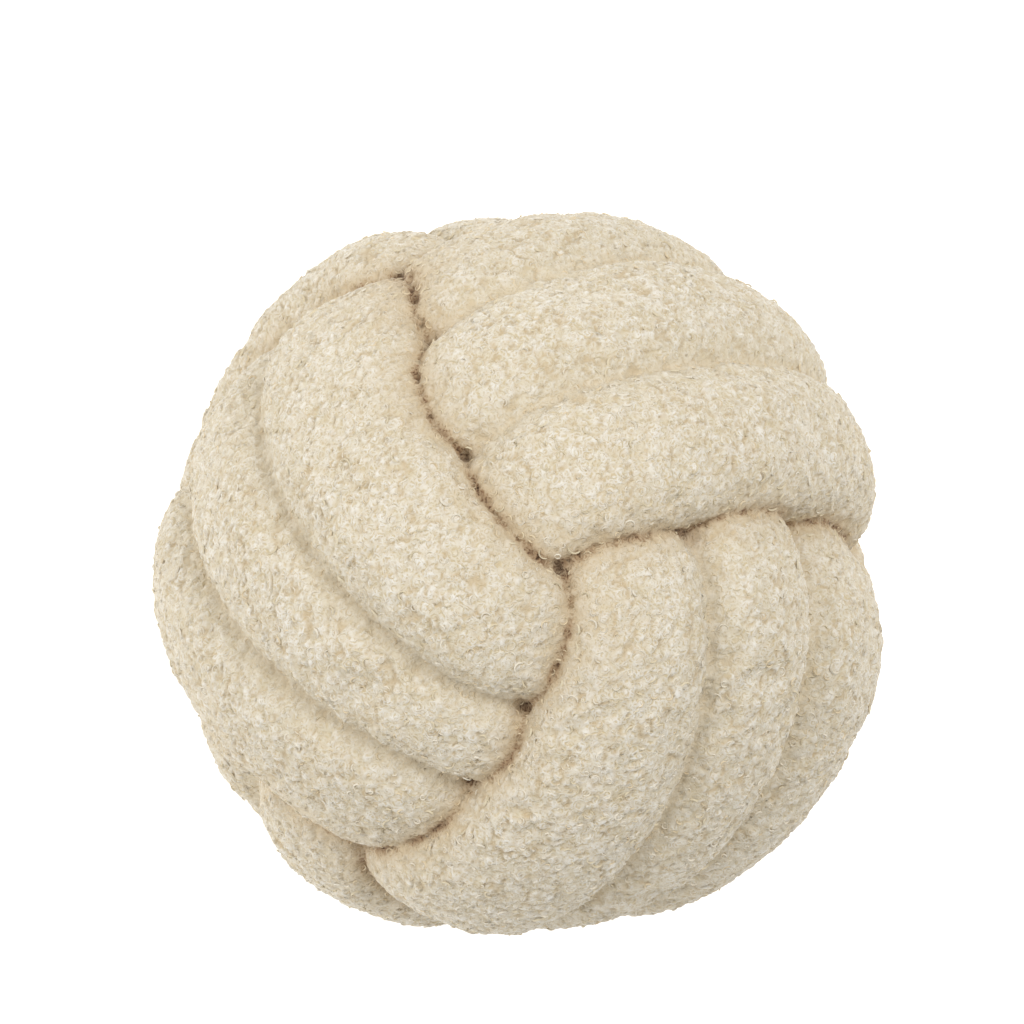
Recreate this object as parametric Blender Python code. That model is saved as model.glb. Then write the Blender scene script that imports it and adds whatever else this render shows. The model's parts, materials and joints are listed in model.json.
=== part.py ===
"""A knot cushion: one long stuffed cloth tube tied round itself into a ball, a monkey's fist knot.

The ball has three bands that cross at right angles. Each band is three turns of the tube side by
side. A band lies on the outside of the ball on two opposite sides, and on the next two it dives
under the band that crosses it there, so at each of the ball's eight corners every band goes over
one neighbour and under the other. The turns press on each other and are one filled solid.

The knot's own axes are the three band axes. The ball lies on one of its corners, with the opposite
corner up, and the three turns that meet there are pressed flat on the floor.
Metres, +Z up, origin on the floor under the middle of the ball. The surface is the tips of the pile.
"""

import math
from typing import NamedTuple

import bmesh
import bpy
from mathutils import Matrix, Vector

# Driving sizes
BALL_RADIUS = 0.112
TUBE_HEIGHT = 0.044
FLOOR_PRESS = 0.007

# The ball's pose: the direction of the first band's outward axis, seen from above
FIRST_BAND_AZIMUTH = math.radians(178.0)

# How far things lie from the ball's middle: a turn's middle line outside and under a crossing
# band, the creases between turns, and the filling
HALF_HEIGHT = TUBE_HEIGHT / 2
OUTER_LINE = BALL_RADIUS - HALF_HEIGHT
INNER_LINE = 0.066
CREASE_RADIUS = 0.104
CORE_RADIUS = 0.084

# How sharply a turn dives under the next band, and how square its section is
DIVE_SHARPNESS = 10.0
SECTION_SQUARENESS = 2.6

# Mesh fineness
STEPS_ALONG = 56
SIDES = 20

CLOTH_COLOUR = (0.67, 0.59, 0.46, 1.0)
CLOTH_ROUGHNESS = 0.95


class Places(NamedTuple):
    """A distance that changes smoothly round a loop, given at four places of it.

    The front is the band's face that looks along its outward axis. Start and end are the two ends
    of that face, in the direction that the turns run.
    """

    start: float
    middle: float
    end: float
    back: float


class Band(NamedTuple):
    """Three turns side by side round the ball. The axes are the knot's own: 0, 1 or 2.

    Four creases part the turns from each other and from the crossing bands: each is given as its
    distance from the band's middle plane. A crest is how far a turn stands out past the ball's radius.
    A press is how much wider a turn is than the room between its creases, before its neighbours
    press it: the wider, the shallower the creases beside it.
    """

    name: str
    outward: int
    run: int
    stack: int
    creases: tuple
    crests: tuple
    presses: tuple


BANDS = (
    Band(
        name="first",
        outward=0,
        run=1,
        stack=2,
        creases=(
            Places(start=0.077, middle=0.063, end=0.056, back=0.060),
            Places(start=0.024, middle=0.015, end=0.017, back=0.020),
            Places(start=-0.024, middle=-0.026, end=-0.016, back=-0.020),
            Places(start=-0.066, middle=-0.066, end=-0.062, back=-0.062),
        ),
        crests=(
            Places(start=-0.001, middle=-0.001, end=0.000, back=0.000),
            Places(start=-0.004, middle=-0.002, end=-0.006, back=0.000),
            Places(start=0.0005, middle=0.001, end=-0.003, back=0.002),
        ),
        presses=(1.06, 1.06, 1.06),
    ),
    Band(
        name="second",
        outward=1,
        run=2,
        stack=0,
        creases=(
            Places(start=0.060, middle=0.060, end=0.063, back=0.058),
            Places(start=0.008, middle=0.013, end=0.023, back=0.020),
            Places(start=-0.020, middle=-0.024, end=-0.017, back=-0.020),
            Places(start=-0.060, middle=-0.064, end=-0.064, back=-0.062),
        ),
        crests=(
            Places(start=0.004, middle=0.001, end=0.000, back=0.004),
            Places(start=-0.002, middle=0.000, end=0.001, back=0.000),
            Places(start=0.001, middle=0.0035, end=0.0065, back=0.004),
        ),
        presses=(1.06, 1.06, 1.06),
    ),
    Band(
        name="third",
        outward=2,
        run=0,
        stack=1,
        creases=(
            Places(start=0.045, middle=0.057, end=0.058, back=0.059),
            Places(start=0.002, middle=0.0155, end=0.015, back=0.018),
            Places(start=-0.031, middle=-0.029, end=-0.022, back=-0.022),
            Places(start=-0.066, middle=-0.066, end=-0.058, back=-0.062),
        ),
        crests=(
            Places(start=0.0035, middle=0.002, end=0.000, back=0.004),
            Places(start=0.005, middle=0.0015, end=0.000, back=0.000),
            Places(start=0.004, middle=0.0025, end=0.000, back=0.002),
        ),
        presses=(1.08, 1.15, 1.15),
    ),
)


def around_loop(places, angle):
    """The smooth distance through a loop's four places. Angle 0 is the middle of the front."""
    eighth = math.sqrt(0.5)
    swing = (places.middle - places.back) / 2
    tilt = (places.end - places.start) / 2 / eighth
    level = (places.start + places.end) / 2 - swing * eighth
    pinch = (places.middle + places.back) / 2 - level
    return level + swing * math.cos(angle) + tilt * math.sin(angle) + pinch * math.cos(2 * angle)


def turn_lean(band, number, angle):
    """The angles of a turn's two creases, seen from the ball's middle: their mean and half their gap."""
    high, low = (
        math.asin(around_loop(crease, angle) / CREASE_RADIUS)
        for crease in band.creases[number : number + 2]
    )
    return (high + low) / 2, (high - low) / 2


def turn_point(band, number, angle):
    """A point of a turn's middle line in the knot's axes."""
    lean, _ = turn_lean(band, number, angle)
    line = OUTER_LINE + around_loop(band.crests[number], angle)
    aside = line * math.sin(lean)
    outside = line * math.cos(lean)
    under = abs(math.sin(angle)) / math.sqrt(INNER_LINE**2 - aside**2)
    reach = (outside**-DIVE_SHARPNESS + under**DIVE_SHARPNESS) ** (-1 / DIVE_SHARPNESS)
    point = Vector((0, 0, 0))
    point[band.outward] = reach * math.cos(angle)
    point[band.run] = reach * math.sin(angle)
    point[band.stack] = aside
    return point


def turn_frame(band, number, angle):
    """Where a turn's section stands: its columns are the section's width, its height and the run."""
    step = math.pi / STEPS_ALONG / 2
    here = turn_point(band, number, angle)
    along = (turn_point(band, number, angle + step) - turn_point(band, number, angle - step)).normalized()
    lean, _ = turn_lean(band, number, angle)
    stack = Vector((0, 0, 0))
    stack[band.stack] = 1
    level = along.cross(stack)
    width = (level * math.cos(lean) + stack * math.sin(lean)).cross(along).normalized()
    frame = Matrix((width, along.cross(width), along)).transposed().to_4x4()
    frame.translation = here
    return frame


def signed_power(value, power):
    return math.copysign(abs(value) ** power, value)


def section_points(half_width):
    """The tube's section, a rounded oval, as points in its own plane."""
    power = 2 / SECTION_SQUARENESS
    points = []
    for side in range(SIDES):
        angle = 2 * math.pi * side / SIDES
        across = half_width * signed_power(math.cos(angle), power)
        up = HALF_HEIGHT * signed_power(math.sin(angle), power)
        points.append(Vector((across, up, 0)))
    return points


def make_turn(band, number, collection, knot):
    """One closed turn of the tube: its oval section carried round the loop."""
    name = f"{band.name}_band_turn_{number + 1}"
    mesh = bpy.data.meshes.new(name)
    shape = bmesh.new()
    rings = []
    for step in range(STEPS_ALONG):
        angle = 2 * math.pi * (step + 0.5) / STEPS_ALONG
        _, half_gap = turn_lean(band, number, angle)
        points = section_points(band.presses[number] * CREASE_RADIUS * math.sin(half_gap))
        frame = turn_frame(band, number, angle)
        rings.append([shape.verts.new(frame @ point) for point in points])
    for ring, following in zip(rings, rings[1:] + rings[:1]):
        for side in range(SIDES):
            beside = (side + 1) % SIDES
            shape.faces.new((ring[side], following[side], following[beside], ring[beside]))
    bmesh.ops.recalc_face_normals(shape, faces=shape.faces)
    shape.to_mesh(mesh)
    shape.free()
    return add_object(name, mesh, collection, knot)


def add_object(name, mesh, collection, parent=None):
    mesh.shade_smooth()
    made = bpy.data.objects.new(name, mesh)
    collection.objects.link(made)
    made.parent = parent
    return made


def make_core(name, collection, parent):
    """The middle of the ball, where the turns are pressed into each other."""
    mesh = bpy.data.meshes.new(name)
    shape = bmesh.new()
    bmesh.ops.create_icosphere(shape, subdivisions=3, radius=CORE_RADIUS)
    shape.to_mesh(mesh)
    shape.free()
    return add_object(name, mesh, collection, parent)


def make_floor_cutter(name, collection):
    """The space under the floor, which the pressed turns don't enter."""
    mesh = bpy.data.meshes.new(name)
    shape = bmesh.new()
    bmesh.ops.create_cube(shape, size=4 * BALL_RADIUS)
    bmesh.ops.translate(shape, verts=shape.verts, vec=(0, 0, -2 * BALL_RADIUS))
    shape.to_mesh(mesh)
    shape.free()
    return add_object(name, mesh, collection)


def hide_helper(helper):
    helper.hide_render = True
    helper.display_type = "WIRE"


def join_turns(cushion, turns):
    """The turns and the core, pressed into one solid."""
    union = cushion.modifiers.new("join turns", "BOOLEAN")
    union.operation = "UNION"
    union.operand_type = "COLLECTION"
    union.collection = turns
    union.solver = "EXACT"


def press_flat(cushion, floor):
    """The flat spot on which the cushion rests."""
    cut = cushion.modifiers.new("press flat", "BOOLEAN")
    cut.operation = "DIFFERENCE"
    cut.object = floor
    cut.solver = "EXACT"


def make_cloth():
    material = bpy.data.materials.new("teddy boucle")
    material.use_nodes = True
    shader = material.node_tree.nodes["Principled BSDF"]
    shader.inputs["Base Color"].default_value = CLOTH_COLOUR
    shader.inputs["Roughness"].default_value = CLOTH_ROUGHNESS
    return material


def make_collection(name):
    collection = bpy.data.collections.new(name)
    bpy.context.scene.collection.children.link(collection)
    return collection


def knot_pose():
    """Turns the knot so that its corner between the three band axes points up."""
    corner_up = Vector((1, 1, 1)).rotation_difference(Vector((0, 0, 1))).to_matrix()
    first = corner_up @ Vector((1, 0, 0))
    turn = FIRST_BAND_AZIMUTH - math.atan2(first.y, first.x)
    return (Matrix.Rotation(turn, 3, "Z") @ corner_up).to_4x4()


def main():
    for old in list(bpy.data.objects):
        bpy.data.objects.remove(old, do_unlink=True)
    parts = make_collection("knot_cushion")
    turns = make_collection("turns of the tube")
    helpers = make_collection("floor and axes")
    knot = bpy.data.objects.new("knot_axes", None)
    helpers.objects.link(knot)
    knot.matrix_world = Matrix.Translation((0, 0, BALL_RADIUS - FLOOR_PRESS)) @ knot_pose()
    for band in BANDS:
        for number in range(len(band.crests)):
            hide_helper(make_turn(band, number, turns, knot))
    floor = make_floor_cutter("floor", helpers)
    hide_helper(floor)
    cushion = make_core("knot_cushion", parts, knot)
    join_turns(cushion, turns)
    press_flat(cushion, floor)
    cushion.data.materials.append(make_cloth())


main()
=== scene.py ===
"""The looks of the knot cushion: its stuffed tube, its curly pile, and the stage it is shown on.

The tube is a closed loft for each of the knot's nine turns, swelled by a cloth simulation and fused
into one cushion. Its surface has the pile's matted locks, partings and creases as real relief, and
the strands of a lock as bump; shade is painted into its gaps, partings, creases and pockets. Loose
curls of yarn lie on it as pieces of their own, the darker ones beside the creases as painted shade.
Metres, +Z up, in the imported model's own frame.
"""

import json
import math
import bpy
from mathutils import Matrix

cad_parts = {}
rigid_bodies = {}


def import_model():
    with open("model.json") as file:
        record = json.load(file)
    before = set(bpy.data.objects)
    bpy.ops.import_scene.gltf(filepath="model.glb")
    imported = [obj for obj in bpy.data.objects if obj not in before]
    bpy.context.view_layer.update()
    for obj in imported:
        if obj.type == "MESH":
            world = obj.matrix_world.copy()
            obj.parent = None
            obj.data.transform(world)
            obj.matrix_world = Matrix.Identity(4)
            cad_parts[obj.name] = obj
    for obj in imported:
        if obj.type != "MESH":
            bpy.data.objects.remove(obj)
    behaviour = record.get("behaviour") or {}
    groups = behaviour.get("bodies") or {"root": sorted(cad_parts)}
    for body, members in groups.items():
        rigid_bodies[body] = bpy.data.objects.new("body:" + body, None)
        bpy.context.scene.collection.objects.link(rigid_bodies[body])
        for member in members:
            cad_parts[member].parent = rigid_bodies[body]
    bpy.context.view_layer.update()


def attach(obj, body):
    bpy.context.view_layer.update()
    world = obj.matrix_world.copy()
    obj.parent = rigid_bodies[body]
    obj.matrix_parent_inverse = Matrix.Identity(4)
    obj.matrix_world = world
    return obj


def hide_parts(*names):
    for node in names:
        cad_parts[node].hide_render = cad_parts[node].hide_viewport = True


bl_info = {
    "name": "Knot cushion",
    "version": (1, 0, 0),
    "blender": (4, 5, 0),
    "location": "3D View > Sidebar > Knot cushion",
    "description": "Builds a knot cushion of one stuffed boucle tube, and its stage",
    "category": "Add Mesh",
}

from typing import NamedTuple

import bmesh
import bpy
import numpy as np
from bpy.props import FloatProperty, FloatVectorProperty, IntProperty, PointerProperty
from mathutils import Matrix, Vector

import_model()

CUSHION_NODE = "knot_cushion"
CUSHION_PIECE = "stuffed_tube"
MM = 0.001


class Places(NamedTuple):
    """A distance in millimetres that changes smoothly round a loop, given at four places of it."""

    start: float
    middle: float
    end: float
    back: float


class Band(NamedTuple):
    """Three turns of the tube side by side round the ball. The axes are the knot's own: 0, 1 or 2.

    A turn's press is how much wider it is than the room between its creases, before its neighbours
    press it: the wider, the shallower the creases beside it.
    """

    outward: int
    run: int
    stack: int
    creases: tuple
    crests: tuple
    presses: tuple


BANDS = (
    Band(
        outward=0,
        run=1,
        stack=2,
        creases=(
            Places(start=77, middle=63, end=56, back=60),
            Places(start=24, middle=15, end=17, back=20),
            Places(start=-24, middle=-26, end=-16, back=-20),
            Places(start=-66, middle=-66, end=-62, back=-62),
        ),
        crests=(
            Places(start=-1, middle=-1, end=0, back=0),
            Places(start=-4, middle=-2, end=-6, back=0),
            Places(start=0.5, middle=1, end=-3, back=2),
        ),
        presses=(1.06, 1.06, 1.06),
    ),
    Band(
        outward=1,
        run=2,
        stack=0,
        creases=(
            Places(start=60, middle=60, end=63, back=58),
            Places(start=8, middle=13, end=23, back=20),
            Places(start=-20, middle=-24, end=-17, back=-20),
            Places(start=-60, middle=-64, end=-64, back=-62),
        ),
        crests=(
            Places(start=4, middle=1, end=0, back=4),
            Places(start=-2, middle=0, end=1, back=0),
            Places(start=1, middle=3.5, end=6.5, back=4),
        ),
        presses=(1.06, 1.06, 1.06),
    ),
    Band(
        outward=2,
        run=0,
        stack=1,
        creases=(
            Places(start=45, middle=57, end=58, back=59),
            Places(start=2, middle=15.5, end=15, back=18),
            Places(start=-31, middle=-29, end=-22, back=-22),
            Places(start=-66, middle=-66, end=-58, back=-62),
        ),
        crests=(
            Places(start=3.5, middle=2, end=0, back=4),
            Places(start=5, middle=1.5, end=0, back=0),
            Places(start=4, middle=2.5, end=0, back=2),
        ),
        presses=(1.08, 1.15, 1.15),
    ),
)


TURNS_IN_BAND = 3


class Curl(NamedTuple):
    """One kind of loose curl of yarn.

    The radius of its ring, its rise from tip to tip and the yarn's thickness are in millimetres.
    Turns say how far round the ring it goes.
    """

    radius: float
    rise: float
    yarn: float
    turns: float
    shade: str


# The kinds of loose wisps, picked at random. Nearer the creases the later, darker kinds are picked,
# as painted shade, and only the last and darkest lie beside them.
WISPS = (
    Curl(radius=1.00, rise=0.4, yarn=0.55, turns=0.85, shade="light"),
    Curl(radius=1.40, rise=0.3, yarn=0.60, turns=0.55, shade="light"),
    Curl(radius=0.80, rise=0.5, yarn=0.50, turns=1.05, shade="light"),
    Curl(radius=1.20, rise=0.4, yarn=0.55, turns=0.65, shade="middle"),
    Curl(radius=1.70, rise=0.2, yarn=0.60, turns=0.42, shade="middle"),
    Curl(radius=1.00, rise=0.4, yarn=0.50, turns=0.80, shade="golden"),
)


def linear(hex_colour):
    """An sRGB hex colour as linear red, green, blue and alpha."""
    channels = [int(hex_colour[place : place + 2], 16) / 255 for place in (1, 3, 5)]
    return (*(c / 12.92 if c <= 0.04045 else ((c + 0.055) / 1.055) ** 2.4 for c in channels), 1.0)


WHITE = linear("#FFFFFF")


def add_node(tree, kind, inputs=None, **settings):
    """Adds a node, sets it, and fills its inputs with values, outputs, or nodes' first outputs."""
    made = tree.nodes.new(kind)
    for name, value in settings.items():
        setattr(made, name, value)
    for key, value in (inputs or {}).items():
        if isinstance(key, int):
            socket = made.inputs[key]
        else:
            socket = next(each for each in made.inputs if each.enabled and each.name == key)
        if isinstance(value, bpy.types.Node):
            value = next(output for output in value.outputs if output.enabled)
        if isinstance(value, bpy.types.NodeSocket):
            tree.links.new(value, socket)
        else:
            socket.default_value = value
    return made


def mesh_nodes(name):
    """An empty node tree that changes a mesh, and the node that brings the mesh in."""
    tree = bpy.data.node_groups.new(name, "GeometryNodeTree")
    for way in ("INPUT", "OUTPUT"):
        tree.interface.new_socket("Geometry", in_out=way, socket_type="NodeSocketGeometry")
    return tree, add_node(tree, "NodeGroupInput")


class KnotShape(bpy.types.PropertyGroup):
    """The sizes of the knotted tube."""

    ball_radius: FloatProperty(
        name="Ball radius",
        description="From the ball's middle to the crests of its turns, over the pile",
        default=112 * MM,
        subtype="DISTANCE",
    )
    tube_height: FloatProperty(
        name="Tube height",
        description="The stuffed tube's thickness, over the pile",
        default=44 * MM,
        subtype="DISTANCE",
    )
    floor_press: FloatProperty(
        name="Floor press",
        description="How far the lowest turns are pressed flat by the floor",
        default=7 * MM,
        subtype="DISTANCE",
    )
    inner_line: FloatProperty(
        name="Inner line",
        description="From the ball's middle to a turn's middle line where it dives under a band",
        default=66 * MM,
        subtype="DISTANCE",
    )
    crease_radius: FloatProperty(
        name="Crease radius",
        description="From the ball's middle to the creases between turns",
        default=104 * MM,
        subtype="DISTANCE",
    )
    pile_depth: FloatProperty(
        name="Pile depth",
        description="How deep the curly pile is on the cloth",
        default=2.0 * MM,
        subtype="DISTANCE",
    )
    filling: FloatProperty(
        name="Filling pressure",
        description="How hard the filling swells the cloth in the simulation",
        default=4.0,
    )


class PileLook(bpy.types.PropertyGroup):
    """The sizes and colours of the curly pile, and of the shade painted into its gaps and creases.
    """

    lock: FloatProperty(
        name="Lock size",
        description="How wide a matted lock of the pile is",
        default=3.4 * MM,
        subtype="DISTANCE",
    )
    lock_height: FloatProperty(
        name="Lock height",
        description="How far a lock stands out of the gaps round it",
        default=1.0 * MM,
        subtype="DISTANCE",
    )
    wisp_spacing: FloatProperty(
        name="Wisp spacing",
        description="The least distance between two loose wisps",
        default=3.3 * MM,
        subtype="DISTANCE",
    )
    seed: IntProperty(name="Seed", description="Changes how the curls fall", default=22)
    # The pile's own cream, over which the colours below paint shade
    light: FloatVectorProperty(
        name="Light yarn",
        description="The colour of the pile's highest strands",
        default=linear("#ECE8DF"),
        size=4,
        subtype="COLOR",
    )
    # Painted shade on the sides of the locks; also the colour of some wisps, which beside the
    # creases stand for shade too
    middle: FloatVectorProperty(
        name="Middle yarn",
        description="The colour of the sides of the locks, and of some wisps",
        default=linear("#D7CBAF"),
        size=4,
        subtype="COLOR",
    )
    wisp: FloatVectorProperty(
        name="Light wisps",
        description="The colour of most of the loose wisps",
        default=linear("#E1D9C8"),
        size=4,
        subtype="COLOR",
    )
    # Golden wisps are picked partly at random, and beside the creases as painted shade
    golden: FloatVectorProperty(
        name="Golden wisps",
        description="The colour of the few darker wisps",
        default=linear("#DBCBAC"),
        size=4,
        subtype="COLOR",
    )
    # Both the golden fibres spun into the yarn and painted shade in the partings, along the creases
    # and round them
    line: FloatVectorProperty(
        name="Lines",
        description="The colour of the golden fibres, in the partings and along the creases",
        default=linear("#C5AD88"),
        size=4,
        subtype="COLOR",
    )
    # Painted shade in the pile's depth, where the lowest strands lie
    depth_shade: FloatVectorProperty(
        name="Gaps",
        description="The colour of the pile's deepest strands",
        default=linear("#CEBD98"),
        size=4,
        subtype="COLOR",
    )
    # Painted shade on both sides of a crease
    beside: FloatVectorProperty(
        name="Beside creases",
        description="The colour of the pile on both sides of a crease",
        default=linear("#D5C8AD"),
        size=4,
        subtype="COLOR",
    )
    # Painted shade in the creases between bands and in the pockets
    crease: FloatVectorProperty(
        name="Creases",
        description="The colour of the pile in the creases between bands",
        default=linear("#8A694A"),
        size=4,
        subtype="COLOR",
    )
    # The darkest painted shade, in the line of a crease between bands and where three turns meet
    deepest_shade: FloatVectorProperty(
        name="Pockets",
        description="The colour of the pile where three turns meet",
        default=linear("#4C3722"),
        size=4,
        subtype="COLOR",
    )


class StageLook(bpy.types.PropertyGroup):
    """The floor, the camera and the lights."""

    lens: FloatProperty(
        name="Lens",
        description="The camera's focal length in millimetres",
        default=150.0,
        subtype="DISTANCE_CAMERA",
    )
    picture_width: FloatProperty(
        name="Picture width",
        description="How much of the scene the picture shows at the ball's middle",
        default=313.8 * MM,
        subtype="DISTANCE",
    )
    floor: FloatVectorProperty(
        name="Floor",
        description="The floor's colour",
        default=linear("#F7F6F3"),
        size=4,
        subtype="COLOR",
    )


# The ball's pose: the direction of the first band's outward axis, seen from above
FIRST_BAND_AZIMUTH = math.radians(178.0)

# How sharply a turn dives under the next band, and how square its section is
DIVE_SHARPNESS = 13.0
SECTION_SQUARENESS = 2.8

# The angle round a loop over which a turn's direction is measured, to each side
RUN_STEP = math.radians(1.5)


def around_loop(places, angle):
    """The smooth distance through a loop's four places. Angle 0 is the middle of the front."""
    eighth = math.sqrt(0.5)
    swing = (places.middle - places.back) / 2
    tilt = (places.end - places.start) / 2 / eighth
    level = (places.start + places.end) / 2 - swing * eighth
    pinch = (places.middle + places.back) / 2 - level
    millimetres = level + swing * math.cos(angle) + tilt * math.sin(angle)
    millimetres += pinch * math.cos(2 * angle)
    return millimetres * MM


def turn_lean(shape, band, number, angle):
    """The mean and half the difference of the angles of a turn's two creases, from the middle."""
    high, low = (
        math.asin(around_loop(crease, angle) / shape.crease_radius)
        for crease in band.creases[number : number + 2]
    )
    return (high + low) / 2, (high - low) / 2


def turn_point(shape, band, number, angle):
    """A point of a turn's middle line in the knot's axes."""
    lean, _ = turn_lean(shape, band, number, angle)
    line = shape.ball_radius - shape.tube_height / 2 + around_loop(band.crests[number], angle)
    aside = line * math.sin(lean)
    outside = line * math.cos(lean)
    under = abs(math.sin(angle)) / math.sqrt(shape.inner_line**2 - aside**2)
    reach = (outside**-DIVE_SHARPNESS + under**DIVE_SHARPNESS) ** (-1 / DIVE_SHARPNESS)
    point = Vector((0, 0, 0))
    point[band.outward] = reach * math.cos(angle)
    point[band.run] = reach * math.sin(angle)
    point[band.stack] = aside
    return point


def turn_frame(shape, band, number, angle):
    """Where a turn's section stands: its columns are the section's width and height and the run."""
    ahead = turn_point(shape, band, number, angle + RUN_STEP)
    along = (ahead - turn_point(shape, band, number, angle - RUN_STEP)).normalized()
    lean, _ = turn_lean(shape, band, number, angle)
    stack = Vector((0, 0, 0))
    stack[band.stack] = 1
    level = along.cross(stack)
    width = (level * math.cos(lean) + stack * math.sin(lean)).cross(along).normalized()
    placed = Matrix((width, along.cross(width), along)).transposed().to_4x4()
    placed.translation = turn_point(shape, band, number, angle)
    return placed


def squarer(unit):
    """A point of the unit circle, moved out to the tube's rounded square section."""
    powers = abs(unit.x) ** SECTION_SQUARENESS + abs(unit.y) ** SECTION_SQUARENESS
    return unit * powers ** (-1 / SECTION_SQUARENESS)


def knot_pose(shape):
    """Stands the knot with its corner between the three band axes up, over the floor."""
    corner_up = Vector((1, 1, 1)).rotation_difference(Vector((0, 0, 1))).to_matrix()
    first = corner_up @ Vector((1, 0, 0))
    turn = Matrix.Rotation(FIRST_BAND_AZIMUTH - math.atan2(first.y, first.x), 3, "Z")
    lift = Matrix.Translation((0, 0, shape.ball_radius - shape.floor_press))
    return lift @ (turn @ corner_up).to_4x4()


# The cloth tube's fineness, and how soon its hold eases towards the crests, which swell the most
STEPS_ALONG = 104
SIDES = 28
HOLD_EASE = 3


def loft_turn(shape, band, number):
    """One closed turn of the cloth tube, inside its pile, with how firmly each point is held."""
    turn = bmesh.new()
    hold = turn.verts.layers.float.new("hold")
    rings = []
    pose = knot_pose(shape)
    for step in range(STEPS_ALONG):
        angle = 2 * math.pi * (step + 0.5) / STEPS_ALONG
        _, half_gap = turn_lean(shape, band, number, angle)
        room = shape.crease_radius * math.sin(half_gap)
        half_width = band.presses[number] * room
        half_height = shape.tube_height / 2 - shape.pile_depth
        ring = bmesh.ops.create_circle(turn, segments=SIDES, radius=1)["verts"]
        placed = pose @ turn_frame(shape, band, number, angle)
        for vert in ring:
            section = squarer(vert.co)
            vert[hold] = 1 - max(0.0, section.y) ** HOLD_EASE
            vert.co = placed @ Vector((section.x * half_width, section.y * half_height, 0))
        rings.append({edge for vert in ring for edge in vert.link_edges})
    for ring, following in zip(rings, rings[1:] + rings[:1]):
        bmesh.ops.bridge_loops(turn, edges=list(ring | following))
    bmesh.ops.recalc_face_normals(turn, faces=turn.faces)
    mesh = bpy.data.meshes.new("turn")
    turn.to_mesh(mesh)
    turn.free()
    return mesh


def make_tubes(shape):
    """The nine turns of the cloth tube, as one mesh object with a group of its held points."""
    tubes = bmesh.new()
    numbers = tubes.verts.layers.int.new("turn")
    for place, band in enumerate(BANDS):
        for number in range(TURNS_IN_BAND):
            before = len(tubes.verts)
            turn = loft_turn(shape, band, number)
            tubes.from_mesh(turn)
            bpy.data.meshes.remove(turn)
            tubes.verts.ensure_lookup_table()
            for vert in tubes.verts[before:]:
                vert[numbers] = TURNS_IN_BAND * place + number
    made = add_object("turns_of_cloth", tubes)
    held = made.vertex_groups.new(name="held")
    for vert, weight in enumerate(made.data.attributes["hold"].data):
        held.add([vert], weight.value, "REPLACE")
    return made


def add_object(name, shape):
    """Makes an object of a finished bmesh."""
    mesh = bpy.data.meshes.new(name)
    shape.to_mesh(mesh)
    shape.free()
    made = bpy.data.objects.new(name, mesh)
    bpy.context.scene.collection.objects.link(made)
    return made


def points_of(mesh):
    """A mesh's points, as an array of rows."""
    points = np.empty(len(mesh.vertices) * 3, dtype=np.float32)
    mesh.vertices.foreach_get("co", points)
    return points.reshape(-1, 3)


def put_points(mesh, points):
    """Moves a mesh's points to the rows of an array."""
    mesh.vertices.foreach_set("co", np.ascontiguousarray(points, dtype=np.float32).ravel())
    mesh.update()


# The simulation of the filling: its length, how far it may move the cloth, the share by which the
# cloth grows, how hard the cloth is to bend, and the solver's steps in a frame
SIMULATED_FRAMES = 20
MOST_SWELL = 1.6 * MM
CLOTH_GROWTH = 0.015
CLOTH_BENDING = 5.0
STEPS_IN_FRAME = 5
# Shorter than any move of the cloth, so that nothing is divided by 0
NO_MOVE = 1e-9


def swell(tubes, pressure):
    """Lets the filling swell the cloth, and keeps the points near their place."""
    cloth = tubes.modifiers.new("filling", "CLOTH")
    cloth.settings.use_pressure = True
    cloth.settings.uniform_pressure_force = pressure
    cloth.settings.effector_weights.gravity = 0
    cloth.settings.vertex_group_mass = "held"
    cloth.settings.shrink_min = -CLOTH_GROWTH
    cloth.settings.bending_stiffness = CLOTH_BENDING
    cloth.settings.quality = STEPS_IN_FRAME
    cloth.collision_settings.use_collision = False
    scene = bpy.context.scene
    for step in range(1, SIMULATED_FRAMES + 1):
        scene.frame_set(step)
    evaluated = tubes.evaluated_get(bpy.context.evaluated_depsgraph_get())
    swollen = points_of(evaluated.data)
    still = points_of(tubes.data)
    moved = swollen - still
    length = np.linalg.norm(moved, axis=1, keepdims=True)
    moved *= np.minimum(1, MOST_SWELL / np.maximum(length, NO_MOVE))
    tubes.modifiers.remove(cloth)
    put_points(tubes.data, still + moved)
    scene.frame_set(1)


# The radius of the filling between the turns, as a share of the ball's
CORE_SHARE = 0.79


def fill(turns, shape):
    """The cushion before its turns are fused: all of them and the middle of the filling."""
    mesh = bmesh.new()
    mesh.from_mesh(turns.data)
    core = bmesh.ops.create_icosphere(mesh, subdivisions=4, radius=CORE_SHARE * shape.ball_radius)
    bmesh.ops.translate(mesh, verts=core["verts"], vec=knot_pose(shape).translation)
    return add_object(CUSHION_PIECE, mesh)


def apply_modifiers(made):
    """Keeps what a piece's modifiers make of it as its own mesh."""
    evaluated = made.evaluated_get(bpy.context.evaluated_depsgraph_get())
    mesh = bpy.data.meshes.new_from_object(evaluated)
    made.modifiers.clear()
    old = made.data
    made.data = mesh
    bpy.data.meshes.remove(old)


# The fineness of the fused surface, about a third of a lock, and how far its steps are softened
PILE_VOXEL = 1.0 * MM
SOFTENING = 0.5
SOFTENED_TIMES = 2


def fuse(cushion):
    """Fuses the turns into one cushion."""
    remesh = cushion.modifiers.new("fuse", "REMESH")
    remesh.mode = "VOXEL"
    remesh.voxel_size = PILE_VOXEL
    soften = cushion.modifiers.new("soften", "SMOOTH")
    soften.factor = SOFTENING
    soften.iterations = SOFTENED_TIMES


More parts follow.
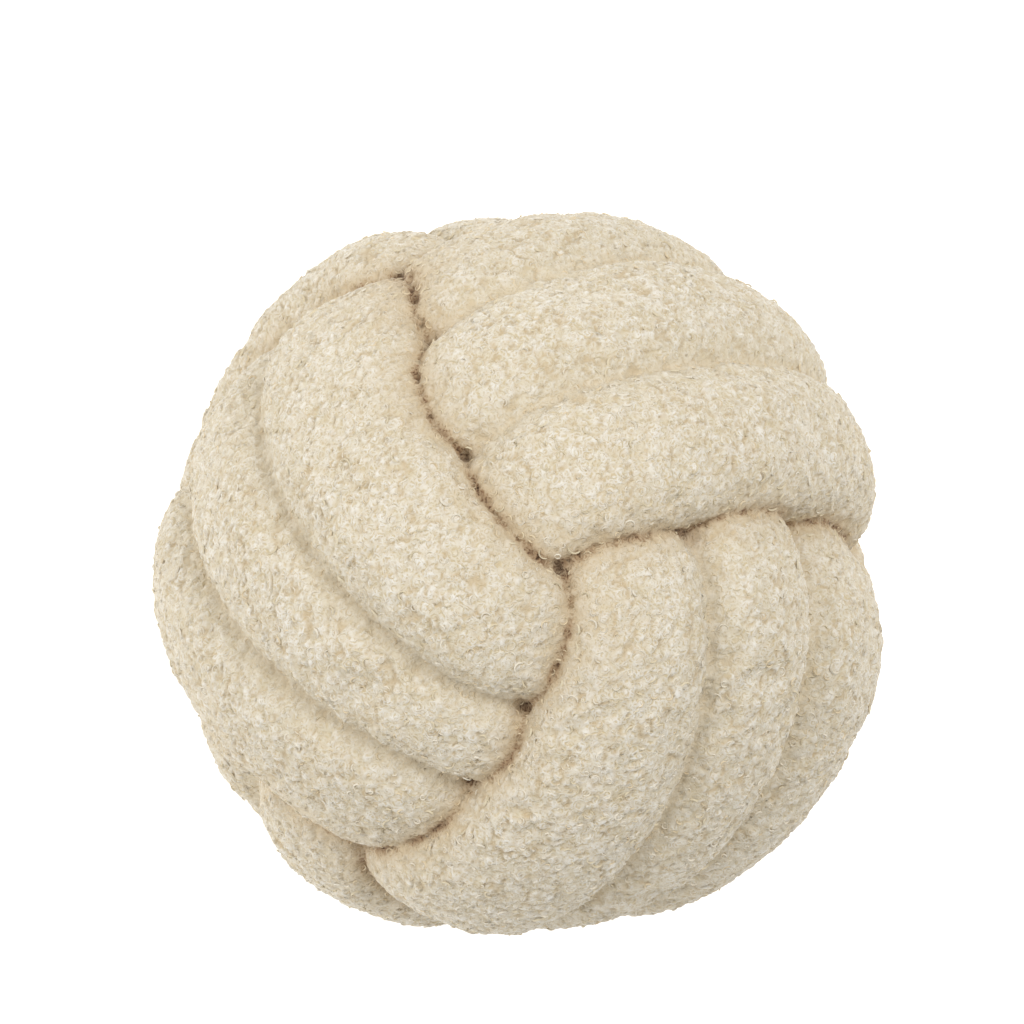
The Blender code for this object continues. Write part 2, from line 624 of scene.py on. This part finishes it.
def warped(tree, place, size, shift):
    """Places moved by a smooth noise of a size, by up to about half a shift each way."""
    noise = add_node(
        tree, "ShaderNodeTexNoise", {"Vector": place, "Scale": 1 / size, "Detail": 1.0}
    )
    return add_node(
        tree,
        "ShaderNodeVectorMath",
        {0: noise.outputs["Color"], 1: (shift, shift, shift), 2: place},
        operation="MULTIPLY_ADD",
    )


def uneven(tree, place, size, span, low, high, detail=2.0):
    """A value that drifts from low to high in patches of a size, over a span of the noise."""
    noise = add_node(
        tree, "ShaderNodeTexNoise", {"Vector": place, "Scale": 1 / size, "Detail": detail}
    )
    ends = {"From Min": span[0], "From Max": span[1], "To Min": low, "To Max": high}
    return add_node(tree, "ShaderNodeMapRange", {"Value": noise.outputs[0], **ends})


# More than any distance on the cushion, in metres
FAR_OFF = 10.0


def smallest(tree, values, count):
    """The smallest few of some values, in order."""
    ranked = [FAR_OFF] * count
    for value in values:
        for rank in range(count):
            pair = {0: ranked[rank], 1: value}
            ranked[rank] = add_node(tree, "ShaderNodeMath", pair, operation="MINIMUM")
            value = add_node(tree, "ShaderNodeMath", pair, operation="MAXIMUM")
    return ranked


def near_turns(tree, turns):
    """How far a point is from each of the turns, band by band."""
    whole = add_node(tree, "GeometryNodeObjectInfo", {"Object": turns}).outputs["Geometry"]
    number = add_node(tree, "GeometryNodeInputNamedAttribute", {"Name": "turn"}, data_type="INT")
    return [
        [
            add_node(
                tree,
                "GeometryNodeProximity",
                {
                    "Geometry": whole,
                    "Group ID": number,
                    "Sample Group ID": TURNS_IN_BAND * place + turn,
                },
                target_element="FACES",
            ).outputs["Distance"]
            for turn in range(TURNS_IN_BAND)
        ]
        for place in range(len(BANDS))
    ]


def fade(tree, distance, width):
    """1 at no distance, falling away smoothly over a width."""
    ratio = add_node(tree, "ShaderNodeMath", {0: distance, 1: -1 / width}, operation="MULTIPLY")
    return add_node(tree, "ShaderNodeMath", {0: math.e, 1: ratio}, operation="POWER")


def within(tree, distance, edge):
    """1 nearer than the edge starts, 0 farther than it ends."""
    return add_node(
        tree,
        "ShaderNodeMapRange",
        {"Value": distance, "From Min": edge[0], "From Max": edge[1], "To Min": 1.0, "To Max": 0.0},
        interpolation_type="SMOOTHSTEP",
    )


# What each point of the pile notes for the painted shade in its colours: how deep it lies between
# locks, and how much in a parting, and how far it is from the next turn, the next band and the turn
# after the next
NOTES = ("gap", "parting", "next_turn", "next_band", "third_turn")

# The locks' shape, in lock sizes: how far their rows bend, and how wide their sloping sides are. A
# lower power gives a lock a flatter top.
LOCK_BEND = 1.6
LOCK_SIDE = 0.32
LOCK_POWER = 0.6
# Some gaps between locks are shallower: how large such patches are, in lock sizes, how much of the
# noise they take, and the least depth of a gap
PATCH = 1.5
PATCH_NOISE = (0.3, 0.7)
LEAST_GAP = 0.35
# The partings that wind through the locks: their spacing, their width as a share of the noise, and
# how far they are drawn out along the Y axis
PARTING = 8 * MM
PARTING_WIDTH = 0.02
PARTING_STRETCH = 1.8


def lock_depth(tree, place, lock):
    """How deep a point lies between the matted locks, and how much in a parting, both 0 to 1."""
    bent = warped(tree, place, LOCK_BEND * lock, LOCK_BEND * lock)
    cell = add_node(
        tree,
        "ShaderNodeTexVoronoi",
        {"Vector": bent, "Scale": 1 / lock},
        feature="DISTANCE_TO_EDGE",
    )
    dome = add_node(
        tree,
        "ShaderNodeMapRange",
        {"Value": cell, "From Max": LOCK_SIDE},
        interpolation_type="SMOOTHSTEP",
    )
    rounded = add_node(tree, "ShaderNodeMath", {0: dome, 1: LOCK_POWER}, operation="POWER")
    strength = uneven(tree, place, PATCH * lock, PATCH_NOISE, LEAST_GAP, 1.0)
    gap = add_node(tree, "ShaderNodeMath", {0: 1.0, 1: rounded}, operation="SUBTRACT")
    around = add_node(tree, "ShaderNodeMath", {0: gap, 1: strength}, operation="MULTIPLY")
    drawn = add_node(
        tree,
        "ShaderNodeVectorMath",
        {0: bent, 1: (1.0, 1 / PARTING_STRETCH, 1.0)},
        operation="MULTIPLY",
    )
    parted = add_node(
        tree, "ShaderNodeTexNoise", {"Vector": drawn, "Scale": 1 / PARTING, "Detail": 1.0}
    )
    off = add_node(tree, "ShaderNodeMath", {0: parted.outputs[0], 1: 0.5}, operation="SUBTRACT")
    aside = add_node(tree, "ShaderNodeMath", {0: off}, operation="ABSOLUTE")
    parting = within(tree, aside, (0.0, PARTING_WIDTH))
    depth = add_node(tree, "ShaderNodeMath", {0: around, 1: parting}, operation="MAXIMUM")
    return depth, parting


class Crease(NamedTuple):
    """How deep and how wide a crease is pressed into the pile."""

    depth: float
    width: float


# The creases between turns of a band and between bands, and the pockets where three turns meet
SIDE_CREASE = Crease(depth=1.2 * MM, width=0.5 * MM)
CROSSING_CREASE = Crease(depth=3.0 * MM, width=0.6 * MM)
POCKET = Crease(depth=3.5 * MM, width=1.6 * MM)
# The ragged pile that hangs over the creases: its size, how much of the noise it takes, and how far
# it hangs over
RAG = 2.2 * MM
RAG_NOISE = (0.35, 0.75)
RAGGED = 0.8 * MM
# The soft lumps of the filling under the cloth: how wide they are, how much of the noise they take,
# and how high they are
CLUMP = 9 * MM
CLUMP_NOISE = (0.0, 1.0)
CLUMP_DEPTH = 0.9 * MM
# A fused bit with fewer points than this is a loose speck inside the cushion
SPECK = 1000


def lock_nodes(look, turns):
    """Deepens the creases, raises the matted locks, and notes gaps and creases for the painted
    shade.
    """
    tree, cloth = mesh_nodes("matted locks")
    place = add_node(tree, "GeometryNodeInputPosition")
    normal = add_node(tree, "GeometryNodeInputNormal")
    depth, parting = lock_depth(tree, place, look.lock)
    near = near_turns(tree, turns)
    _, next_turn, third_turn = smallest(tree, sum(near, []), 3)
    _, next_band = smallest(tree, [smallest(tree, band, 1)[0] for band in near], 2)
    over = uneven(tree, place, RAG, RAG_NOISE, 0.0, RAGGED)
    lump = uneven(tree, place, CLUMP, CLUMP_NOISE, -CLUMP_DEPTH, CLUMP_DEPTH)
    rise = add_node(
        tree, "ShaderNodeMath", {0: depth, 1: -look.lock_height, 2: lump}, operation="MULTIPLY_ADD"
    )
    for distance, crease in (
        (next_turn, SIDE_CREASE),
        (next_band, CROSSING_CREASE),
        (third_turn, POCKET),
    ):
        covered = add_node(tree, "ShaderNodeMath", {0: distance, 1: over}, operation="ADD")
        rise = add_node(
            tree,
            "ShaderNodeMath",
            {0: fade(tree, covered, crease.width), 1: -crease.depth, 2: rise},
            operation="MULTIPLY_ADD",
        )
    moved = add_node(tree, "ShaderNodeVectorMath", {0: normal, "Scale": rise}, operation="SCALE")
    island = add_node(tree, "GeometryNodeInputMeshIsland")
    whole = add_node(
        tree, "GeometryNodeAccumulateField", {"Value": 1, "Group ID": island}, data_type="INT"
    )
    speck = add_node(
        tree,
        "FunctionNodeCompare",
        {"A": whole.outputs["Total"], "B": SPECK},
        data_type="INT",
        operation="LESS_THAN",
    )
    kept = add_node(tree, "GeometryNodeDeleteGeometry", {"Geometry": cloth, "Selection": speck})
    for name, value in zip(NOTES, (depth, parting, next_turn, next_band, third_turn)):
        kept = add_node(
            tree,
            "GeometryNodeStoreNamedAttribute",
            {"Geometry": kept, "Name": name, "Value": value},
            data_type="FLOAT",
            domain="POINT",
        )
    raised = add_node(tree, "GeometryNodeSetPosition", {"Geometry": kept, "Offset": moved})
    add_node(tree, "NodeGroupOutput", {"Geometry": raised})
    return tree


def press_on_floor(mesh):
    """Lifts what hangs through the floor, at z 0, up to it."""
    points = points_of(mesh)
    points[:, 2] = np.maximum(points[:, 2], 0.0)
    put_points(mesh, points)


# The six squares of the bake map: how much of a square its side of the ball takes, and how many
# squares lie side by side and one over the other
SQUARE_SHARE = 0.94
SQUARES_ACROSS, SQUARES_UP = 3, 2


def unwrap(mesh, middle):
    """Lays the surface out for baking, seen from the ball's middle: a square for each side."""
    count = len(mesh.polygons)
    centres = np.empty(count * 3, dtype=np.float32)
    mesh.polygons.foreach_get("center", centres)
    outward = centres.reshape(-1, 3) - np.array(middle, dtype=np.float32)
    axis = np.abs(outward).argmax(axis=1)
    far_side = outward[np.arange(count), axis] < 0
    corners = np.empty(count, dtype=np.int32)
    mesh.polygons.foreach_get("loop_total", corners)
    verts = np.empty(len(mesh.loops), dtype=np.int32)
    mesh.loops.foreach_get("vertex_index", verts)
    face = np.repeat(np.arange(count), corners)
    axis, far_side = axis[face], far_side[face]
    point = points_of(mesh)[verts] - np.array(middle, dtype=np.float32)
    each = np.arange(len(verts))
    depth = point[each, axis]
    across = point[each, (axis + 1) % 3] / depth
    up = point[each, (axis + 2) % 3] / np.abs(depth)
    places = np.stack(
        (
            (axis + 0.5 + 0.5 * SQUARE_SHARE * across) / SQUARES_ACROSS,
            (far_side + 0.5 + 0.5 * SQUARE_SHARE * up) / SQUARES_UP,
        ),
        axis=1,
    ).astype(np.float32)
    layer = mesh.uv_layers.new(name="OFBake")
    layer.data.foreach_set("uv", places.ravel())


def yarn_material(name, colour):
    """Spun boucle yarn, looped and brushed: dull, and its loose fibres catch light at the edges."""
    material = bpy.data.materials.new(name)
    material.use_nodes = True
    shader = material.node_tree.nodes["Principled BSDF"]
    shader.inputs["Base Color"].default_value = colour
    shader.inputs["Roughness"].default_value = 0.85
    shader.inputs["Sheen Weight"].default_value = 0.1
    shader.inputs["Sheen Roughness"].default_value = 0.5
    return material


# The loops of yarn that the pile is matted of: how far apart their middles are, in several layers
LOOP_LAYERS = (2.4 * MM, 3.0 * MM, 3.8 * MM)
# How far a layer is moved aside along X and Y, in its own sizes, so that the layers don't line up
LAYER_SHIFT = (7, 5)
# How far apart the strands of a loop are. The fibres of the real yarn are too fine to show, so the
# strands are drawn as coarse as this, about three pixels of the picture.
STRAND = 0.95 * MM
# How large the waves are that bend the loops, and how much higher a loop may lie than its neighbour
LOOP_WAVE = 1.6 * MM
LOOP_CHANCE = 0.5
# How far the strands stand out, as bump
STRAND_HEIGHT = 0.13 * MM


def loops(tree, place, size):
    """Strands that curl round many middles a size apart: their height, and a chance shade."""
    across, up = LAYER_SHIFT
    shifted = add_node(
        tree, "ShaderNodeVectorMath", {0: place, 1: (size * across, size * up, 0)}, operation="ADD"
    )
    middles = add_node(tree, "ShaderNodeTexVoronoi", {"Vector": shifted, "Scale": 1 / size})
    phase = add_node(
        tree,
        "ShaderNodeMath",
        {0: middles.outputs["Distance"], 1: 2 * math.pi * size / STRAND},
        operation="MULTIPLY",
    )
    wave = add_node(tree, "ShaderNodeMath", {0: phase}, operation="SINE")
    height = add_node(tree, "ShaderNodeMapRange", {"Value": wave, "From Min": -1.0})
    chance = add_node(tree, "ShaderNodeSeparateColor", {"Color": middles.outputs["Color"]})
    return height, chance


# How far from a crease the painted shade beside it and in its line reaches
HALO = 5.0 * MM
BAND_HALO = 4.0 * MM
TURN_LINE = 1.0 * MM
POCKET_BROWN = 1.8 * MM
# How near the next band, or the two next turns, the painted shade is darkest, and where it starts
# to darken the cloth
BAND_BROWN = (0.3 * MM, 2.6 * MM)
BAND_LINE = (0.1 * MM, 1.2 * MM)
POCKET_LINE = (1.0 * MM, 3.2 * MM)
# How far high strands hide the painted shade of a crease, and how its line wavers: how far, over
# what length, and how much of the noise it takes
OVERHANG = 0.9 * MM
BROKEN = 1.6 * MM
BROKEN_LENGTH = 6 * MM
BROKEN_NOISE = (0.3, 0.7)
# The height up to which strands lie in the pile's depth and take its painted shade, and the height
# at which none does
DEEP_STRANDS = (0.4, 1.4)
# The yarn is spun of cream and golden fibres: over what length it turns golden, how much of the
# noise that takes, and how far it turns. The last is how much painted shade the partings take, in
# the lines' golden colour.
MIXED = 1.6 * MM
MIXED_NOISE = (0.4, 0.7)
MIXED_SHARE = 0.3
PARTING_SHADE = 0.6


def pile_material(look):
    """Matted boucle pile: cream locks of fine curling strands, with golden and brown shade painted
    into its gaps, partings, creases and pockets.
    """
    material = yarn_material("matted boucle pile", look.depth_shade)
    tree = material.node_tree
    shader = tree.nodes["Principled BSDF"]
    place = add_node(tree, "ShaderNodeTexCoord").outputs["Object"]
    bent = warped(tree, place, LOOP_WAVE, LOOP_WAVE)
    height = 0.0
    for size in LOOP_LAYERS:
        layer, chance = loops(tree, bent, size)
        lifted = add_node(
            tree, "ShaderNodeMath", {0: chance, 1: LOOP_CHANCE, 2: layer}, operation="MULTIPLY_ADD"
        )
        height = add_node(tree, "ShaderNodeMath", {0: height, 1: lifted}, operation="MAXIMUM")
    deep, high = DEEP_STRANDS
    sunken_shade = add_node(
        tree,
        "ShaderNodeMapRange",
        {"Value": height, "From Min": deep, "From Max": high, "To Min": 1.0, "To Max": 0.0},
    )
    gap, parting, next_turn, next_band, third_turn = (
        add_node(tree, "ShaderNodeAttribute", attribute_name=name).outputs["Fac"] for name in NOTES
    )
    broken = uneven(tree, place, BROKEN_LENGTH, BROKEN_NOISE, -BROKEN / 2, BROKEN / 2)
    over = add_node(
        tree, "ShaderNodeMath", {0: height, 1: OVERHANG, 2: broken}, operation="MULTIPLY_ADD"
    )
    far_turn, far_band, far_third = (
        add_node(tree, "ShaderNodeMath", {0: distance, 1: over}, operation="ADD")
        for distance in (next_turn, next_band, third_turn)
    )
    parted = add_node(
        tree, "ShaderNodeMath", {0: parting, 1: PARTING_SHADE}, operation="MULTIPLY"
    )
    golden = uneven(tree, place, MIXED, MIXED_NOISE, 0.0, MIXED_SHARE, detail=1.0)
    shade = look.light
    # Over the light cream, each mix but the golden noise paints shade: in the gaps, the pile's
    # depth, the partings, and beside, along and in the creases and pockets. The golden noise is the
    # yarn's own mix of fibres.
    for share, colour in (
        (gap, look.middle),
        (sunken_shade, look.depth_shade),
        (parted, look.line),
        (golden, look.line),
        (fade(tree, far_turn, HALO), look.beside),
        (fade(tree, far_band, BAND_HALO), look.line),
        (fade(tree, far_turn, TURN_LINE), look.line),
        (within(tree, far_band, BAND_BROWN), look.crease),
        (fade(tree, far_third, POCKET_BROWN), look.crease),
        (within(tree, far_band, BAND_LINE), look.deepest_shade),
        (within(tree, far_third, POCKET_LINE), look.deepest_shade),
    ):
        shade = add_node(
            tree, "ShaderNodeMix", {"Factor": share, "A": shade, "B": colour}, data_type="RGBA"
        ).outputs[2]
    bump = add_node(tree, "ShaderNodeBump", {"Height": height, "Distance": STRAND_HEIGHT})
    tree.links.new(shade, shader.inputs["Base Color"])
    tree.links.new(bump.outputs["Normal"], shader.inputs["Normal"])
    return material


# A curl's mesh: its steps from tip to tip, the sides of its yarn, and how thin its tips are
CURL_STEPS = 7
YARN_SIDES = 3
TIP = 0.45


def make_curl(curl, yarn, kinds):
    """One kind of curl: a yarn spun round its ring, thinner at both tips."""
    mesh = bmesh.new()
    upright = Matrix.Rotation(math.radians(90), 4, "X")
    bmesh.ops.create_circle(
        mesh,
        segments=YARN_SIDES,
        radius=curl.yarn * MM / 2,
        matrix=Matrix.Translation((curl.radius * MM, 0, 0)) @ upright,
    )
    bmesh.ops.spin(
        mesh,
        geom=mesh.verts[:] + mesh.edges[:],
        axis=(0, 0, 1),
        angle=2 * math.pi * curl.turns,
        dvec=(0, 0, curl.rise * MM / CURL_STEPS),
        steps=CURL_STEPS,
    )
    mesh.verts.ensure_lookup_table()
    for ring in (mesh.verts[:YARN_SIDES], mesh.verts[-YARN_SIDES:]):
        middle = sum((vert.co for vert in ring), Vector()) / YARN_SIDES
        bmesh.ops.scale(mesh, vec=(TIP, TIP, TIP), space=Matrix.Translation(-middle), verts=ring)
    bmesh.ops.holes_fill(mesh, edges=mesh.edges, sides=YARN_SIDES)
    bmesh.ops.recalc_face_normals(mesh, faces=mesh.faces)
    data = bpy.data.meshes.new("curl")
    mesh.to_mesh(data)
    mesh.free()
    data.materials.append(yarn)
    kinds.objects.link(bpy.data.objects.new("curl", data))


# How the wisps lie: how far they tilt out of the cloth, how deep they sink into the pile, how small
# and large they are, and how far above the floor the lowest yarn lies
CURL_TILT = math.radians(15)
SUNK = 0.36 * MM
WISP_SIZES = (0.8, 1.2)
FLOOR_GAP = 0.2 * MM
# How far from the ball's middle wisps lie at least, and how far from the next turn
INNERMOST = 88 * MM
ROOM = 0.4 * MM
# How far from the next turn the wisps are picked from the later, darker kinds, as painted shade
SHADED = 4.0 * MM
# Points tried for each wisp that finds its place
TRIES = 4
# The seeds of how a wisp is turned, of its kind and of its size
TURN_SEED, KIND_SEED, SIZE_SEED = 1, 2, 3
# Less than one kind, so that the last kind isn't passed
BEFORE_NEXT = 0.01


def side_test(tree, offset, side, across):
    """True on the side of the ball that looks along an axis more than across it."""
    reach = [
        add_node(tree, "ShaderNodeVectorMath", {0: offset, 1: axis}, operation="DOT_PRODUCT")
        for axis in (side, *across)
    ]
    beside = [
        add_node(tree, "ShaderNodeMath", {0: value}, operation="ABSOLUTE") for value in reach[1:]
    ]
    most = add_node(tree, "ShaderNodeMath", {0: beside[0], 1: beside[1]}, operation="MAXIMUM")
    return add_node(
        tree, "FunctionNodeCompare", {"A": reach[0], "B": most}, operation="GREATER_THAN"
    )


def scatter_nodes(kinds, spacing, seed, middle, side, across):
    """Scatters curls over the cloth, out of the depth of its creases, lying any way round."""
    tree, cloth = mesh_nodes("curls on cloth")
    place = add_node(tree, "GeometryNodeInputPosition")
    offset = add_node(tree, "ShaderNodeVectorMath", {0: place, 1: middle}, operation="SUBTRACT")
    depth = add_node(tree, "ShaderNodeVectorMath", {0: offset}, operation="LENGTH")
    wanted = add_node(
        tree, "FunctionNodeCompare", {"A": depth, "B": INNERMOST}, operation="GREATER_THAN"
    )
    next_turn = add_node(
        tree, "GeometryNodeInputNamedAttribute", {"Name": "next_turn"}, data_type="FLOAT"
    )
    open_pile = add_node(
        tree, "FunctionNodeCompare", {"A": next_turn, "B": ROOM}, operation="GREATER_THAN"
    )
    on_side = side_test(tree, offset, side, across)
    for test in (on_side, open_pile):
        wanted = add_node(tree, "FunctionNodeBooleanMath", {0: wanted, 1: test}, operation="AND")
    points = add_node(
        tree,
        "GeometryNodeDistributePointsOnFaces",
        {
            "Mesh": cloth,
            "Selection": wanted,
            "Distance Min": spacing,
            "Density Max": TRIES / spacing**2,
            "Seed": seed,
        },
        distribute_method="POISSON",
    )
    turned = add_node(
        tree,
        "FunctionNodeRandomValue",
        {
            "Min": (-CURL_TILT, -CURL_TILT, -math.pi),
            "Max": (CURL_TILT, CURL_TILT, math.pi),
            "Seed": TURN_SEED,
        },
        data_type="FLOAT_VECTOR",
    )
    turn = add_node(tree, "FunctionNodeEulerToRotation", {"Euler": turned})
    rotation = add_node(
        tree,
        "FunctionNodeRotateRotation",
        {"Rotation": points.outputs["Rotation"], "Rotate By": turn},
        rotation_space="LOCAL",
    )
    most = float(len(kinds.objects))
    any_kind = add_node(
        tree,
        "FunctionNodeRandomValue",
        {"Min": 0.0, "Max": most, "Seed": KIND_SEED},
        data_type="FLOAT",
    )
    # Nearer the next turn the kind is pushed to the later, darker ones: painted shade beside the
    # creases
    shade_shift = add_node(
        tree,
        "ShaderNodeMapRange",
        {"Value": next_turn, "From Min": ROOM, "From Max": SHADED, "To Min": most, "To Max": 0.0},
    )
    kind = add_node(tree, "ShaderNodeMath", {0: any_kind, 1: shade_shift}, operation="ADD")
    known = add_node(
        tree, "ShaderNodeClamp", {"Value": kind, "Min": 0.0, "Max": most - BEFORE_NEXT}
    )
    index = add_node(tree, "FunctionNodeFloatToInt", {0: known}, rounding_mode="FLOOR")
    size = add_node(
        tree,
        "FunctionNodeRandomValue",
        {"Min": WISP_SIZES[0], "Max": WISP_SIZES[1], "Seed": SIZE_SEED},
        data_type="FLOAT",
    )
    shapes = add_node(
        tree,
        "GeometryNodeCollectionInfo",
        {"Collection": kinds, "Separate Children": True, "Reset Children": True},
    )
    curled = add_node(
        tree,
        "GeometryNodeInstanceOnPoints",
        {
            "Points": points,
            "Instance": shapes,
            "Pick Instance": True,
            "Instance Index": index,
            "Rotation": rotation,
            "Scale": size,
        },
    )
    sunk = add_node(
        tree, "GeometryNodeTranslateInstances", {"Instances": curled, "Translation": (0, 0, -SUNK)}
    )
    pile = add_node(tree, "GeometryNodeRealizeInstances", {"Geometry": sunk})
    parts = add_node(tree, "ShaderNodeSeparateXYZ", {"Vector": place})
    above = add_node(
        tree, "ShaderNodeMath", {0: parts.outputs["Z"], 1: FLOOR_GAP}, operation="MAXIMUM"
    )
    lifted = add_node(
        tree,
        "ShaderNodeCombineXYZ",
        {"X": parts.outputs["X"], "Y": parts.outputs["Y"], "Z": above},
    )
    rested = add_node(tree, "GeometryNodeSetPosition", {"Geometry": pile, "Position": lifted})
    add_node(tree, "NodeGroupOutput", {"Geometry": rested})
    return tree


def add_piece(made, *, replaced=()):
    """Sets a piece on the body it rides on, and hides the CAD parts that it stands for."""
    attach(made, "root")
    if replaced:
        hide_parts(*replaced)


def make_kinds(yarns):
    """A collection of the kinds of curl to scatter, which is deleted afterwards."""
    kinds = bpy.data.collections.new("wisps")
    for curl in WISPS:
        make_curl(curl, yarns[curl.shade], kinds)
    return kinds


def delete_kinds(kinds):
    """Takes away the collection of the kinds of curl."""
    for curl in list(kinds.objects):
        bpy.data.objects.remove(curl, do_unlink=True)
    bpy.data.collections.remove(kinds)


class AddCushion(bpy.types.Operator):
    """Adds the stuffed tube in its knot, with its matted pile"""

    bl_idname = "knot_cushion.add_tube"
    bl_label = "Stuffed tube"

    def execute(self, context):
        shape = context.scene.knot_shape
        look = context.scene.pile_look
        turns = make_tubes(shape)
        swell(turns, shape.filling)
        cushion = fill(turns, shape)
        fuse(cushion)
        locks = cushion.modifiers.new("locks", "NODES")
        locks.node_group = lock_nodes(look, turns)
        apply_modifiers(cushion)
        bpy.data.objects.remove(turns)
        press_on_floor(cushion.data)
        unwrap(cushion.data, knot_pose(shape).translation)
        cushion.data.materials.clear()
        cushion.data.materials.append(pile_material(look))
        cushion.data.shade_smooth()
        add_piece(cushion, replaced=[CUSHION_NODE])
        return {"FINISHED"}


class AddPile(bpy.types.Operator):
    """Adds the loose wisps of the pile, one piece for each side of the ball"""

    bl_idname = "knot_cushion.add_pile"
    bl_label = "Loose wisps"

    def execute(self, context):
        look = context.scene.pile_look
        cushion = bpy.data.objects[CUSHION_PIECE]
        # The cream and golden yarns are darker copies of the light one: picked partly at random,
        # and beside the creases as painted shade
        yarns = {
            "light": yarn_material("light boucle yarn", look.wisp),
            "middle": yarn_material("cream boucle yarn", look.middle),
            "golden": yarn_material("golden boucle yarn", look.golden),
        }
        kinds = make_kinds(yarns)
        pose = knot_pose(context.scene.knot_shape)
        axes = [pose.to_3x3().col[number].copy() for number in range(3)]
        for number, band in enumerate(("first", "second", "third")):
            for end, sign in (("front", 1), ("back", -1)):
                name = f"wisps_{band}_{end}"
                pile = bpy.data.objects.new(name, cushion.data.copy())
                context.scene.collection.objects.link(pile)
                wisps = pile.modifiers.new("wisps", "NODES")
                wisps.node_group = scatter_nodes(
                    kinds,
                    look.wisp_spacing,
                    look.seed,
                    pose.translation,
                    side=sign * axes[number],
                    across=axes[:number] + axes[number + 1 :],
                )
                apply_modifiers(pile)
                pile.data.name = name
                add_piece(pile)
        delete_kinds(kinds)
        return {"FINISHED"}


# From the ball's middle towards the camera; the picture's upper edge is to the +Y side
TOWARDS_CAMERA = Vector((-0.1607, -0.0390, 0.9862))
# The camera sensor's width, in the millimetres of its lens
SENSOR = 36.0
# How far the picture's middle lies right of and above the ball's middle
PICTURE_OFFSET = Vector((-2.3, 19.3)) * MM


def add_camera(context, look):
    """The camera that sees the cushion as the photograph does: nearly straight from above."""
    data = bpy.data.cameras.new("camera")
    data.lens = look.lens
    data.sensor_width = SENSOR
    distance = look.picture_width * look.lens / SENSOR
    back = TOWARDS_CAMERA.normalized()
    right = Vector((0, 1, 0)).cross(back).normalized()
    up = back.cross(right)
    middle = knot_pose(context.scene.knot_shape).translation
    made = bpy.data.objects.new("camera", data)
    placed = Matrix((right, up, back)).transposed().to_4x4()
    placed.translation = middle + back * distance + right * PICTURE_OFFSET.x + up * PICTURE_OFFSET.y
    made.matrix_world = placed
    context.scene.collection.objects.link(made)
    context.scene.camera = made


class Lamp(NamedTuple):
    """A soft square lamp that points at the cushion: where it is, how wide, and its power."""

    name: str
    place: tuple
    width: float
    watts: float


LAMPS = (
    Lamp(name="key", place=(0.7, 0.7, 1.85), width=1.2, watts=20.5),
    Lamp(name="fill", place=(-1.65, 0.0, 1.25), width=1.2, watts=15.0),
)
# The strength of the white light that comes from all round
SURROUNDING_LIGHT = 0.5


def add_lights(context):
    """The lamps of a photographer's studio, and the light of its white walls."""
    for lamp in LAMPS:
        data = bpy.data.lights.new(lamp.name, "AREA")
        data.size = lamp.width
        data.energy = lamp.watts
        made = bpy.data.objects.new(lamp.name, data)
        made.location = lamp.place
        made.rotation_euler = Vector(lamp.place).to_track_quat("Z", "Y").to_euler()
        context.scene.collection.objects.link(made)
    world = bpy.data.worlds.new("studio")
    world.use_nodes = True
    background = world.node_tree.nodes["Background"]
    background.inputs["Color"].default_value = WHITE
    background.inputs["Strength"].default_value = SURROUNDING_LIGHT
    context.scene.world = world


# The floor reaches this far to each side, and shines with this strength from the lamps under it
FLOOR_REACH = 3.0
FLOOR_GLOW = 0.5


def add_floor(look):
    """A light table of sanded opal acrylic: pale and dull, and its glow keeps the shadow soft."""
    mesh = bmesh.new()
    bmesh.ops.create_grid(mesh, x_segments=1, y_segments=1, size=FLOOR_REACH)
    made = add_object("floor", mesh)
    material = bpy.data.materials.new("sanded opal acrylic")
    material.use_nodes = True
    shader = material.node_tree.nodes["Principled BSDF"]
    shader.inputs["Base Color"].default_value = look.floor
    shader.inputs["Roughness"].default_value = 0.9
    shader.inputs["Emission Color"].default_value = WHITE
    shader.inputs["Emission Strength"].default_value = FLOOR_GLOW
    made.data.materials.append(material)


class AddStage(bpy.types.Operator):
    """Adds the pale floor, the soft studio light and the camera"""

    bl_idname = "knot_cushion.add_stage"
    bl_label = "Stage"

    def execute(self, context):
        look = context.scene.stage_look
        add_floor(look)
        add_lights(context)
        add_camera(context, look)
        context.scene.view_settings.view_transform = "Standard"
        return {"FINISHED"}


class KnotCushionPanel(bpy.types.Panel):
    """The knot cushion's sizes and colours, and a button for each of its pieces"""

    bl_idname = "VIEW3D_PT_knot_cushion"
    bl_label = "Knot cushion"
    bl_space_type = "VIEW_3D"
    bl_region_type = "UI"
    bl_category = "Knot cushion"

    def draw(self, context):
        for operator, group in (
            (AddCushion, "knot_shape"),
            (AddPile, "pile_look"),
            (AddStage, "stage_look"),
        ):
            box = self.layout.box()
            settings = getattr(context.scene, group)
            for name in settings.bl_rna.properties.keys():
                if name not in ("rna_type", "name"):
                    box.prop(settings, name)
            box.operator(operator.bl_idname)


CLASSES = (KnotShape, PileLook, StageLook, AddCushion, AddPile, AddStage, KnotCushionPanel)


def register():
    """Adds the classes, and the settings to each scene."""
    for item in CLASSES:
        bpy.utils.register_class(item)
    bpy.types.Scene.knot_shape = PointerProperty(type=KnotShape)
    bpy.types.Scene.pile_look = PointerProperty(type=PileLook)
    bpy.types.Scene.stage_look = PointerProperty(type=StageLook)


def unregister():
    """Takes away what register adds."""
    del bpy.types.Scene.stage_look
    del bpy.types.Scene.pile_look
    del bpy.types.Scene.knot_shape
    for item in reversed(CLASSES):
        bpy.utils.unregister_class(item)


def main():
    """Builds the cushion and its stage."""
    register()
    bpy.ops.knot_cushion.add_tube()
    bpy.ops.knot_cushion.add_pile()
    bpy.ops.knot_cushion.add_stage()


if __name__ == "__main__":
    main()
